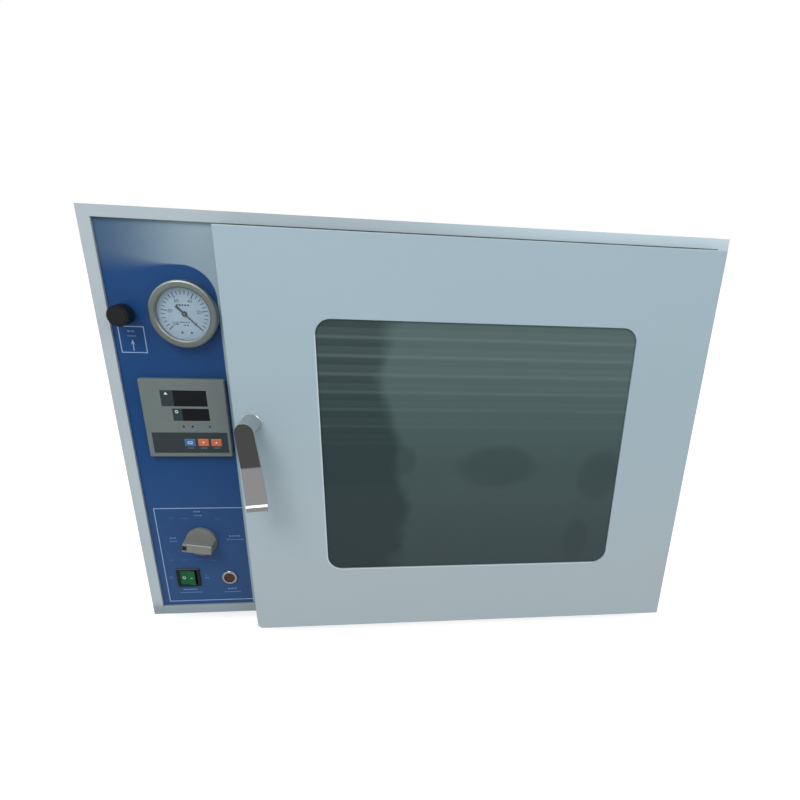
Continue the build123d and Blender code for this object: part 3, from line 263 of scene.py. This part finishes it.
def smoked():
    """The outer pane: smoked grey-green glass, darker to one side and in patches, with a painted reflection of faint
    level streaks high up.
    """
    s = Shade("smoked_glass", lin(66, 84, 84), rough=0.12, vary=0.06, patch=7, grain=200, lift=0.0000005,
              swing=0.03, Specular_IOR_Level=0.3)
    x, _, z = s.axes()
    drift = s.wander(11.0, 3, 0.10)
    side = s.math("ADD", x, drift)
    left_dark = s.span(side, -0.052, -0.026, 1.0, 0.0)
    tall = s.span(z, 0.10, 0.43, 0.0, 1.0)
    base = s.mix(tall, lin(62, 76, 78), lin(84, 103, 101))
    base = s.mix(s.math("MULTIPLY", left_dark, 0.75), base, lin(42, 56, 59))
    for cx, cz, wide, high in ((0.092, 0.252, 0.050, 0.028), (0.232, 0.240, 0.030, 0.036),
                               (0.206, 0.146, 0.018, 0.034), (-0.030, 0.262, 0.020, 0.020)):
        du = s.math("DIVIDE", s.math("SUBTRACT", s.math("ADD", x, s.math("MULTIPLY", drift, 0.35)), cx), wide)
        dv = s.math("DIVIDE", s.math("SUBTRACT", s.math("ADD", z, s.math("MULTIPLY", drift, 0.2)), cz), high)
        patch = s.span(s.far(du, dv), 0.7, 1.15, 1.0, 0.0)
        base = s.mix(s.math("MULTIPLY", patch, 0.4), base, lin(52, 66, 67))
    # Painted reflection: faint level streaks high up in the pane
    wave = s.math("FRACT", s.math("DIVIDE", s.math("ADD", z, s.math("MULTIPLY", drift, 0.012)), 0.0211))
    line = s.span(s.math("ABSOLUTE", s.math("SUBTRACT", wave, 0.5)), 0.0, 0.16, 1.0, 0.0)
    band = s.span(wave, 0.0, 1.0, 0.0, 0.35)
    high = s.span(z, 0.26, 0.40, 0.0, 0.34)
    reflected_streak = s.math("MULTIPLY", s.math("ADD", s.math("MULTIPLY", line, 0.8), band), high)
    return s.paint(s.mix(reflected_streak, base, lin(116, 138, 134)))


def painted_height_light(shade, low_colour, high_colour, low_z, high_z):
    """A painted sheet with painted light: a little warmer and lighter low down."""
    z = shade.axes()[2]
    height = shade.span(shade.math("ADD", z, shade.wander(3.0, 2, 0.12)), low_z, high_z, 0.0, 1.0)
    painted_light_tone = shade.mix(height, low_colour, high_colour)
    return shade.paint(shade.mix(0.35, painted_light_tone, shade.colour))


def frame_painted_light(shade):
    """The cabinet's paint with painted light: painted shade makes it duller low down, and a painted highlight makes it
    lighter along the top towards the hinges.
    """
    x, _, z = shade.axes()
    # Painted shade low down, then a painted highlight along the top towards the hinges
    painted_foot_shade = shade.mix(shade.span(z, 0.032, 0.048, 0.6, 0.0), shade.colour, lin(118, 130, 140))
    painted_top_highlight = shade.math("MULTIPLY", shade.span(z, 0.50, 0.54, 0.0, 1.0), shade.span(x, -0.10, 0.24, 0.0, 0.85))
    return shade.paint(shade.mix(painted_top_highlight, painted_foot_shade, lin(216, 232, 240)))


frame_painted_light(body_paint_and_light)
# The door's paint gets painted light: a little warmer and lighter low down
painted_height_light(door_paint, lin(184, 194, 197), lin(171, 192, 202), 0.06, 0.42)
panel_film = film()
smoked_glass = smoked()

finish = {
    "outer_cover": body_paint_and_light, "base_pan": body_paint_and_light, "rear_cover": body_paint_and_light, "front_panel": body_paint_and_light,
    "cover_screws": zinc, "feet": foot_rubber, "control_panel": body_paint_and_light, "panel_overlay": panel_film,
    "latch_catch": zinc, "chamber_flange": steel, "door_seal": silicone, "chamber": steel,
    "support_rails": zinc, "heating_mats": mat_orange, "insulation": wool, "temperature_probe": steel,
    "shelf_rails": steel, "lower_shelf": steel, "upper_shelf": steel, "manifold": copper,
    "gauge_tube": copper, "vent_tube": copper, "valve_tube": copper, "pump_tube": copper,
    "pump_nozzle": zinc, "gauge_bezel": bezel_steel, "gauge_glass": dial_glass, "gauge_case": zinc,
    "gauge_dial": dial_enamel, "gauge_pointer": needle_black, "vent_valve": brass, "vent_knob": black_plastic,
    "vacuum_valve": brass, "vacuum_knob": knob_grey, "controller_bezel": bezel_grey,
    "display_windows": display_black, "controller_case": black_plastic, "set_key": key_blue,
    "down_key": key_orange, "up_key": key_orange, "switch_housing": black_plastic, "rocker": rocker_green,
    "lamp_body": chrome, "lamp_lens": lens_red, "power_inlet": black_plastic, "heater_relay": black_plastic,
    "door_shell": door_paint, "window_pane": smoked_glass, "window_retainer": black_plastic,
    "inner_glass": clear_glass, "door_frame": steel, "door_liner": steel, "glass_clips": zinc,
    "hinge_blocks": zinc, "hinge_bushes": nylon, "hinge_brackets": zinc, "handle_rosette": chrome,
    "handle_bush": nylon, "handle_lever": chrome, "latch_shaft": zinc,
}
for name, obj in nodes.items():
    obj.data.materials.clear()
    obj.data.materials.append(finish[name].mat)


# ---------------------------------------------------------------- printed and inlaid pieces
def shown(name, mesh_data, body, shade):
    """Puts a finished mesh in the scene, on the body it moves with."""
    obj = bpy.data.objects.new(name, mesh_data)
    bpy.context.scene.collection.objects.link(obj)
    mesh_data.materials.append(shade.mat)
    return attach(obj, body)


class Print:
    """Thin raised print on a surface that faces forward: strokes and solid shapes in x and z."""

    def __init__(self, y, thick=0.00012):
        self.bm = bmesh.new()
        self.y = y
        self.thick = thick

    def slab(self, outline):
        """A filled convex outline, a hair thick."""
        back = [self.bm.verts.new((x, self.y, z)) for x, z in outline]
        front = [self.bm.verts.new((x, self.y - self.thick, z)) for x, z in outline]
        self.bm.faces.new(front)
        n = len(outline)
        for i in range(n):
            j = (i + 1) % n
            self.bm.faces.new((front[i], back[i], back[j], front[j]))

    def line(self, points, width, closed=False):
        """A stroke with mitred corners."""
        pts = [Vector(p) for p in points]
        n = len(pts)
        left, right = [], []
        for i, p in enumerate(pts):
            before = pts[i - 1] if (closed or i > 0) else None
            after = pts[(i + 1) % n] if (closed or i < n - 1) else None
            d0 = (p - before).normalized() if before is not None else (after - p).normalized()
            d1 = (after - p).normalized() if after is not None else d0
            normal = Vector((-(d0 + d1).y, (d0 + d1).x)).normalized()
            k = width / 2 / max(0.3, normal.dot(Vector((-d1.y, d1.x))))
            left.append(p + normal * k)
            right.append(p - normal * k)
        for i in range(n if closed else n - 1):
            j = (i + 1) % n
            self.slab([tuple(right[i]), tuple(right[j]), tuple(left[j]), tuple(left[i])])

    def arc(self, cx, cz, radius, width, start=0.0, stop=360.0, steps=32):
        full = abs(stop - start) >= 360
        count = steps if full else steps + 1
        pts = [(cx + radius * math.cos(math.radians(start + (stop - start) * i / steps)),
                cz + radius * math.sin(math.radians(start + (stop - start) * i / steps))) for i in range(count)]
        self.line(pts, width, closed=full)

    def dot(self, cx, cz, radius, steps=20):
        self.slab([(cx + radius * math.cos(2 * math.pi * i / steps), cz + radius * math.sin(2 * math.pi * i / steps))
                   for i in range(steps)])

    def bar(self, cx, cz, w, h):
        self.slab([(cx - w / 2, cz - h / 2), (cx + w / 2, cz - h / 2), (cx + w / 2, cz + h / 2),
                   (cx - w / 2, cz + h / 2)])

    def words(self, cx, cz, width, height, count):
        """A plain row of blocks where a caption would stand."""
        pitch = width / count
        for i in range(count):
            self.bar(cx - width / 2 + pitch * (i + 0.5), cz, pitch * 0.72, height)

    def figure(self, text, cx, cz, size):
        """Plain figures, centred at a place."""
        curve = bpy.data.curves.new("figure", "FONT")
        curve.body = text
        curve.size = size
        curve.align_x = "CENTER"
        curve.align_y = "CENTER"
        curve.extrude = self.thick / 2
        curve.resolution_u = 4
        holder = bpy.data.objects.new("figure", curve)
        flat = bpy.data.meshes.new_from_object(holder)
        flat.transform(Matrix.Translation((cx, self.y - self.thick / 2, cz))
                       @ Matrix.Rotation(math.radians(90), 4, "X"))
        self.bm.from_mesh(flat)
        bpy.data.objects.remove(holder)
        bpy.data.curves.remove(curve)
        bpy.data.meshes.remove(flat)

    def done(self, name, body, shade, lay=None):
        bmesh.ops.recalc_face_normals(self.bm, faces=self.bm.faces)
        mesh = bpy.data.meshes.new(name)
        self.bm.to_mesh(mesh)
        self.bm.free()
        if lay is not None:
            mesh.transform(lay)
        return shown(name, mesh, body, shade)


# The frame round the lower controls, open at the door, and the vent's box with its arrow
FRAME_LEFT, FRAME_TOP, FRAME_FOOT = -0.3455, 0.1830, 0.0430
ARROW_X, BOX_TOP, BOX_FOOT = -0.3350, 0.4105, 0.3813
STROKE = 0.0010
film_y = FILM[0].y
frame_right = FILM[1].x - 0.001
lines = Print(film_y)
lines.line([(frame_right, FRAME_TOP), (FRAME_LEFT, FRAME_TOP), (FRAME_LEFT, FRAME_FOOT), (frame_right, FRAME_FOOT)],
           STROKE)
lines.line([(-0.3482, BOX_TOP), (-0.3210, BOX_TOP), (-0.3210, BOX_FOOT), (-0.3482, BOX_FOOT)], STROKE, closed=True)
lines.line([(ARROW_X, 0.3832), (ARROW_X, 0.3915)], STROKE)
lines.slab([(ARROW_X - 0.0018, 0.3905), (ARROW_X + 0.0018, 0.3905), (ARROW_X, 0.3962)])
lines.done("panel_lines", "cabinet", print_light)

# Captions: a tall row above a low one, each a row of blocks
TALL, LOW = 0.0018, 0.0012
legend = Print(film_y)
for (x, z), dx, dz, width, height, count in (
        (KNOB, -0.0010, 0.0428, 0.0085, TALL, 3), (KNOB, -0.0004, 0.0370, 0.0100, LOW, 4),
        (KNOB, -0.0358, 0.0048, 0.0085, TALL, 3), (KNOB, -0.0356, -0.0002, 0.0090, LOW, 4),
        (KNOB, 0.0420, 0.0064, 0.0150, TALL, 4), (KNOB, 0.0422, 0.0012, 0.0230, LOW, 9),
        (SWITCH, 0.0230, -0.0018, 0.0060, 0.0010, 2), (SWITCH, -0.0006, -0.0192, 0.0190, TALL, 5),
        (SWITCH, 0.0002, -0.0240, 0.0290, LOW, 10), (LAMP, 0.0012, -0.0182, 0.0130, TALL, 3),
        (LAMP, 0.0012, -0.0233, 0.0220, LOW, 8), ((ARROW_X, BOX_TOP), -0.0002, -0.0053, 0.0085, TALL, 2),
        ((ARROW_X, BOX_TOP), 0.0, -0.0106, 0.0100, LOW, 4)):
    legend.words(x + dx, z + dz, width, height, count)
legend.arc(SWITCH[0] - 0.0225, SWITCH[1], 0.0019, 0.0005, steps=20)
legend.bar(SWITCH[0] + 0.0228, SWITCH[1] + 0.0022, 0.0006, 0.0036)
legend.done("panel_legend", "cabinet", print_faint)

# Fainter dashes above and below the knob
trace = Print(film_y)
for dx, dz, w in ((-0.0343, 0.0338, 0.0045), (-0.0172, 0.0331, 0.0085), (0.0233, 0.0320, 0.0070),
                  (-0.0425, -0.0280, 0.0055), (-0.0260, -0.0284, 0.0070), (-0.0058, -0.0278, 0.0090),
                  (0.0113, -0.0300, 0.0060)):
    trace.bar(KNOB[0] + dx, KNOB[1] + dz, w, LOW)
trace.done("panel_trace", "cabinet", print_trace)

# Dial: plain scale from 0 round to 100, read against the clock as a vacuum gauge is
DIAL_FIRST, DIAL_SWEEP, TICK_OUT = -46.0, 270.0, 0.0254
scale = Print(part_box("gauge_dial")[0].y, 0.00008)


def on_dial(share, radius):
    """A place on the dial: the share of its sweep and the distance from its middle."""
    a = math.radians(DIAL_FIRST + DIAL_SWEEP * share)
    return GAUGE[0] + radius * math.cos(a), GAUGE[1] + radius * math.sin(a)


for i in range(26):
    inner, width = (0.0190, 0.0010) if i % 5 == 0 else (0.0212, 0.0008)
    scale.line([on_dial(i / 25, inner), on_dial(i / 25, TICK_OUT)], width)
for i in range(6):
    scale.figure(str(20 * i), *on_dial(i / 5, 0.0156), 0.0054)
scale.dot(GAUGE[0] - 0.0052, GAUGE[1] - 0.0208, 0.0013)
scale.dot(GAUGE[0] + 0.0050, GAUGE[1] - 0.0208, 0.0013)
scale.words(GAUGE[0] - 0.0010, GAUGE[1] + 0.0095, 0.0150, TALL, 5)
scale.words(GAUGE[0] - 0.0008, GAUGE[1] - 0.0092, 0.0110, LOW, 4)
scale.words(GAUGE[0] + 0.0002, GAUGE[1] - 0.0126, 0.0060, LOW, 2)
scale.done("dial_scale", "cabinet", dial_ink)

# Controller face: a dark band with openings for the three keys
face_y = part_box("controller_bezel")[0].y
band = Print(face_y, 0.00015)
x0, x1, z0, z1 = CONTROL[0] - 0.0421, CONTROL[0] + 0.0448, CONTROL[1] - 0.0429, CONTROL[1] - 0.0169
key_half_w, key_half_h, key_z = 0.0066, 0.0050, CONTROL[1] - 0.0296
key_xs = [CONTROL[0] + 0.0005, CONTROL[0] + 0.0160, CONTROL[0] + 0.0310]
band.slab([(x0, key_z + key_half_h), (x1, key_z + key_half_h), (x1, z1), (x0, z1)])
band.slab([(x0, z0), (x1, z0), (x1, key_z - key_half_h), (x0, key_z - key_half_h)])
edges = [x0] + [e for k in key_xs for e in (k - key_half_w, k + key_half_w)] + [x1]
for i in range(0, len(edges), 2):
    band.bar((edges[i] + edges[i + 1]) / 2, key_z, edges[i + 1] - edges[i], 2 * key_half_h)
band.done("controller_band", "cabinet", band_dark)

# Slate tabs with their marks on the two displays
window_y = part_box("display_windows")[0].y
tabs = Print(window_y, 0.00012)
tabs.bar(CONTROL[0] - 0.01835, CONTROL[1] + 0.0253, 0.0141, 0.0192)
tabs.bar(CONTROL[0] - 0.0091, CONTROL[1] + 0.0053, 0.0106, 0.0150)
tabs.done("display_tabs", "cabinet", slate)

glyphs = Print(window_y - 0.00012, 0.00008)
glyphs.slab([(CONTROL[0] - 0.0215, CONTROL[1] + 0.0298), (CONTROL[0] - 0.0171, CONTROL[1] + 0.0298),
             (CONTROL[0] - 0.0193, CONTROL[1] + 0.0328)])
glyphs.arc(CONTROL[0] - 0.0100, CONTROL[1] + 0.0090, 0.0015, 0.0008, steps=18)
glyphs.done("display_glyphs", "cabinet", print_white)

# Three small lamps with a dash under each, and a bar under each key
leds = Print(face_y, 0.0002)
for dx in (-0.0042, 0.0060, 0.0259):
    leds.dot(CONTROL[0] + dx, CONTROL[1] - 0.0093, 0.0012)
leds.done("controller_leds", "cabinet", mark_black)

dashes = Print(face_y, 0.0001)
for dx in (-0.0040, 0.0066, 0.0259):
    dashes.bar(CONTROL[0] + dx, CONTROL[1] - 0.0137, 0.0050, 0.0009)
dashes.done("controller_dashes", "cabinet", print_faint)

captions = Print(face_y - 0.00015, 0.00008)
for k in key_xs:
    captions.bar(k, CONTROL[1] - 0.0366, 0.0072, 0.0010)
captions.done("key_captions", "cabinet", caption_grey)

for node, body, k, shape in (("set_key", "set_button", key_xs[0], "square"),
                             ("down_key", "down_button", key_xs[1], "down"),
                             ("up_key", "up_button", key_xs[2], "up")):
    mark = Print(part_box(node)[0].y, 0.00012)
    if shape == "square":
        mark.line([(k - 0.0024, key_z - 0.0012), (k + 0.0024, key_z - 0.0012), (k + 0.0024, key_z + 0.0012),
                   (k - 0.0024, key_z + 0.0012)], 0.0006, closed=True)
    elif shape == "down":
        mark.slab([(k - 0.0014, key_z + 0.0010), (k, key_z - 0.0014), (k + 0.0014, key_z + 0.0010)])
    else:
        mark.slab([(k - 0.0014, key_z - 0.0010), (k + 0.0014, key_z - 0.0010), (k, key_z + 0.0014)])
    mark.done(node + "_mark", body, print_white)

# Valve knob: a black mark on its beak and a painted highlight along its upper edge
KNOB_TURN = math.radians(-9.5)
knob_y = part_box("vacuum_knob")[0].y
beak = Print(knob_y, 0.00015)
hub = Vector(KNOB)
along = Vector((math.cos(KNOB_TURN), math.sin(KNOB_TURN)))
across = Vector((-math.sin(KNOB_TURN), math.cos(KNOB_TURN)))
spot = hub - 0.0148 * along
beak.slab([tuple(spot + 0.0026 * u * along + 0.0030 * v * across) for u, v in ((-1, -1), (1, -1), (1, 1), (-1, 1))])
beak.done("knob_mark", "vacuum_handwheel", mark_black)
# Painted highlight: a light line along the bar's upper edge
ridge_highlight = Print(knob_y, 0.00012)
upper = hub + 0.0058 * across
ridge_highlight.line([tuple(upper - 0.0120 * along), tuple(upper + 0.0172 * along)], STROKE)
ridge_highlight.done("knob_ridge_highlight", "vacuum_handwheel", knob_painted_highlight)

# A painted highlight along the window's cut edge, on its left side and its bottom
HEM_LEFT, HEM_RIGHT, HEM_FOOT, HEM_TOP, HEM_BEND = -0.1271, 0.2541, 0.1094, 0.4316, 0.0186
hem_highlight = Print(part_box("door_shell")[0].y, 0.00015)
corner = [(HEM_LEFT + HEM_BEND + HEM_BEND * math.cos(math.radians(a)),
           HEM_FOOT + HEM_BEND + HEM_BEND * math.sin(math.radians(a))) for a in [180 + 7.5 * i for i in range(13)]]
hem_highlight.line([(HEM_LEFT, HEM_TOP - HEM_BEND)] + corner + [(HEM_RIGHT - HEM_BEND, HEM_FOOT)], 0.0011)
hem_highlight.done("window_hem_highlight", "door", painted_edge_highlight)


# Rocker: a ring on one half and a bar on the other
def half_face(side):
    """A matrix that lays a print on the rocker's left (-1) or right (1) front face."""
    obj = nodes["rocker"]
    centre, normal, total = Vector(), Vector(), 0.0
    for p in obj.data.polygons:
        spot = obj.matrix_world @ p.center
        if p.normal.y < -0.8 and (spot.x - SWITCH[0]) * side > 0:
            centre += spot * p.area
            normal += p.normal * p.area
            total += p.area
    centre, normal = centre / total, normal.normalized()
    up = Vector((0, 0, 1))
    across = up.cross(-normal) * -1
    lay = Matrix((across, -normal, up)).transposed().to_4x4()
    lay.translation = centre + normal * 0.00002
    return lay


ring = Print(0.0, 0.0001)
ring.arc(0.0, 0.0, 0.0017, 0.0006, steps=24)
ring.done("off_mark", "rocker_tongue", print_white, half_face(-1))
stroke = Print(0.0, 0.0001)
stroke.bar(0.0, 0.0, 0.0030, 0.0007)
stroke.done("on_mark", "rocker_tongue", print_white, half_face(1))


# ---------------------------------------------------------------- room
def seen_rays(graph):
    """1 for rays from the camera, from gloss or through glass."""
    path = graph.add("ShaderNodeLightPath").outputs
    seen = graph.math("MAXIMUM", path["Is Camera Ray"], path["Is Glossy Ray"])
    return graph.math("MAXIMUM", seen, path["Is Transmission Ray"])


WORLD_LEVEL = 0.50
FRONT_GLOSS = 0.45
FLOOR_GLOW = 0.78
TABLE_EDGE, TABLE_NEAR, TABLE_DARK = -0.80, 0.42, 0.11
ROOM_EDGE, ROOM_FAR = -1.75, 0.45

world = bpy.data.worlds.new("room")
bpy.context.scene.world = world
world.use_nodes = True
g = Graph(world.node_tree)
out = g.add("ShaderNodeOutputWorld")
dull = g.add("ShaderNodeBackground")
dull.inputs["Color"].default_value = (0.93, 0.97, 1.0, 1.0)
dull.inputs["Strength"].default_value = WORLD_LEVEL
bright = g.add("ShaderNodeBackground")
bright.inputs["Color"].default_value = (1.0, 1.0, 1.0, 1.0)
# In gloss the room in front of the oven is dimmer than the backdrop behind and above it
ray = g.split(g.add("ShaderNodeTexCoord").outputs["Generated"])
front_dim = g.span(ray[1], -0.75, 0.0, FRONT_GLOSS, 1.0)
level = g.math("MAXIMUM", front_dim, g.add("ShaderNodeLightPath").outputs["Is Camera Ray"])
g.link(level, bright.inputs["Strength"])
g.link(g.blend(seen_rays(g), dull.outputs[0], bright.outputs[0]), out.inputs[0])

floor_mesh = bpy.data.meshes.new("floor")
bm = bmesh.new()
bmesh.ops.create_circle(bm, cap_ends=True, radius=9.0, segments=64)
bm.to_mesh(floor_mesh)
bm.free()
floor = bpy.data.objects.new("floor", floor_mesh)
bpy.context.scene.collection.objects.link(floor)
floor_mat = bpy.data.materials.new("floor_white")
floor_mat.use_nodes = True
g = Graph(floor_mat.node_tree)
out = g.add("ShaderNodeOutputMaterial")
matt = g.add("ShaderNodeBsdfDiffuse")
matt.inputs["Color"].default_value = (0.80, 0.80, 0.80, 1.0)
glow = g.add("ShaderNodeEmission")
glow.inputs["Strength"].default_value = FLOOR_GLOW
plus = g.add("ShaderNodeAddShader")
g.link(matt.outputs[0], plus.inputs[0])
g.link(glow.outputs[0], plus.inputs[1])
# Mirrored in metal and glass, the table is pale near the oven, dark beyond its edge, and the far room is pale again
place = g.add("ShaderNodeTexCoord").outputs["Object"]
ragged = g.math("MULTIPLY", g.math("SUBTRACT", g.noise(9.0, 2.0, 0.5, place), 0.5), 0.25)
near = g.math("ADD", g.split(place)[1], ragged)
mirror = g.add("ShaderNodeEmission")
mirrored = g.math("MAXIMUM", g.span(near, TABLE_EDGE - 0.02, TABLE_EDGE + 0.02, TABLE_DARK, TABLE_NEAR),
                  g.span(near, ROOM_EDGE - 0.05, ROOM_EDGE + 0.05, ROOM_FAR, TABLE_DARK))
g.link(mirrored, mirror.inputs["Strength"])
path = g.add("ShaderNodeLightPath").outputs
seen = g.blend(path["Is Camera Ray"], matt.outputs[0], plus.outputs[0])
g.link(g.blend(path["Is Glossy Ray"], seen, mirror.outputs[0]), out.inputs[0])
floor_mesh.materials.append(floor_mat)


def lamp(name, place, target, size, power, colour=(1, 1, 1)):
    data = bpy.data.lights.new(name, "AREA")
    data.shape = "DISK"
    data.size = size
    data.energy = power
    data.color = colour
    obj = bpy.data.objects.new(name, data)
    bpy.context.scene.collection.objects.link(obj)
    obj.location = place
    obj.rotation_euler = (Vector(target) - Vector(place)).to_track_quat("-Z", "Y").to_euler()


lamp("key", (-0.9, -1.9, 2.3), (0.0, 0.0, 0.28), 1.6, 33.0)
lamp("fill", (1.6, -1.7, 1.9), (0.0, 0.0, 0.25), 1.8, 12.0, (0.95, 0.98, 1.0))

# ---------------------------------------------------------------- camera
# Fitted to the straight edges of cabinet, door and panel: place, then turns about Z, X and Y
EYE_PLACE = (-0.043854, -0.949332, 0.526026)
EYE_TURNS = ((-0.159095, "Z"), (-0.412874, "X"), (-0.053508, "Y"))
camera = bpy.data.cameras.new("camera")
camera.sensor_width = 36.0
camera.lens = 27.351
camera.shift_x = -0.10016
camera.shift_y = 0.12571
camera.clip_start = 0.01
eye = bpy.data.objects.new("camera", camera)
bpy.context.scene.collection.objects.link(eye)
pose = Matrix.Translation(EYE_PLACE)
for angle, axis in EYE_TURNS:
    pose = pose @ Matrix.Rotation(angle, 4, axis)
# The fitted axes are right, forward and up; Blender's camera looks down its own -Z
eye.matrix_world = pose @ Matrix.Rotation(math.radians(90), 4, "X")
bpy.context.scene.camera = eye

bpy.context.scene.view_settings.view_transform = "Standard"
